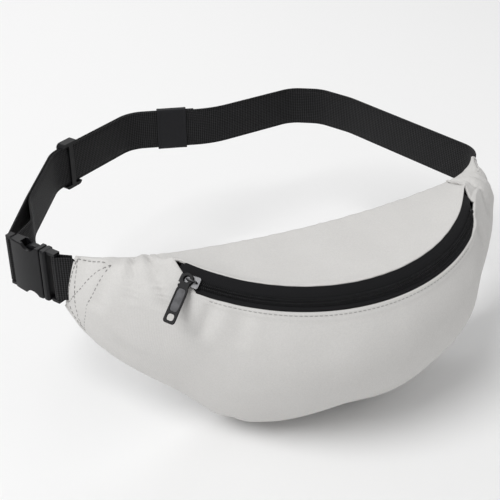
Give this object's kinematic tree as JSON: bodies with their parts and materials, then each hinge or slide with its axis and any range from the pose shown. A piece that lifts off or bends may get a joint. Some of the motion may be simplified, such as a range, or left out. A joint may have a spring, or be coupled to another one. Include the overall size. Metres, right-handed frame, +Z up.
{
  "type": "waist belt bag",
  "caption": "Crescent fabric pouch with a curved zip across its upper front, worn on an adjustable webbing waist belt with a side-release buckle.",
  "frame": {"origin": "centre of the waist opening that the belt and the bag's back make, level with the middle of the webbing", "axes": "+Z up along the wearer's body, -Y to the bag's front, away from the wearer, -X to the buckle side, which is the left in a view from the front"},
  "size_m": [0.4148, 0.3702, 0.1699],
  "materials": {
    "cloth": "pale warm-grey woven cloth, matt",
    "zip_tape": "black woven tape, matt",
    "zip_coil": "black nylon coil, slight sheen",
    "slider_metal": "dark nickel-plated die-cast metal",
    "pull_metal": "gunmetal with a dark raised rim",
    "webbing": "black ribbed webbing, matt",
    "buckle_plastic": "black moulded plastic, satin gloss",
    "keeper_cloth": "black smooth binding cloth"
  },
  "bodies": {
    "pouch": {"back_panel": "cloth", "top_panel": "cloth", "front_panel": "cloth", "zip_tape_upper": "zip_tape", "zip_tape_lower": "zip_tape", "zip_coil_upper": "zip_coil", "zip_coil_lower": "zip_coil", "zip_stop_left": "zip_coil", "zip_stop_right": "zip_coil", "belt_anchor": "webbing", "plug_webbing": "webbing", "buckle_plug": "buckle_plastic"},
    "zip_slider": {"zip_slider": "slider_metal", "slider_bail": "slider_metal"},
    "zip_pull": {"zip_pull": "pull_metal"},
    "belt": {"belt_webbing": "webbing", "buckle_socket": "buckle_plastic"},
    "adjuster": {"tri_glide": "buckle_plastic"},
    "keeper": {"keeper_loop": "keeper_cloth"},
    "prong_upper": {"prong_upper": "buckle_plastic"},
    "prong_lower": {"prong_lower": "buckle_plastic"}
  },
  "joints": [
    {"name": "zip_slide", "type": "hinge", "parent": "pouch", "child": "zip_slider", "pos_m": [0, -0.0618, 0.0432], "axis": [0, -0.1977, 0.9803], "range_deg": [0, 93]},
    {"name": "pull_swing", "type": "hinge", "parent": "zip_slider", "child": "zip_pull", "pos_m": [-0.12507, -0.16225, 0.02491], "axis": [-0.4362, -0.5271, 0.7294], "range_deg": [-95, 28]},
    {"name": "belt_swing", "type": "hinge", "parent": "pouch", "child": "belt", "pos_m": [0.121, 0.114, 0], "axis": [0, 0, -1], "range_deg": [0, 50], "deforming": ["prong_upper", "prong_lower"]},
    {"name": "adjuster_slide", "type": "slide", "parent": "belt", "child": "adjuster", "axis": [0.8721, 0.4893, 0], "range_m": [0, 0.058]},
    {"name": "keeper_slide", "type": "slide", "parent": "belt", "child": "keeper", "axis": [0.9571, -0.2897, 0], "range_m": [-0.011, 0.008]},
    {"name": "prong_squeeze", "type": "hinge", "parent": "pouch", "child": "prong_upper", "pos_m": [-0.20281, -0.07301, 0.0115], "axis": [-0.8704, -0.4924, 0], "range_deg": [0, 9], "stiffness_Nm_per_rad": 1.4},
    {"name": "prong_squeeze_lower", "type": "hinge", "parent": "pouch", "child": "prong_lower", "pos_m": [-0.20281, -0.07301, -0.0115], "axis": [0.8704, 0.4924, 0], "range_deg": [0, 9], "stiffness_Nm_per_rad": 1.4}
  ],
  "couplings": [
    {"joint": "prong_squeeze_lower", "follows": "prong_squeeze", "ratio": 1}
  ]
}
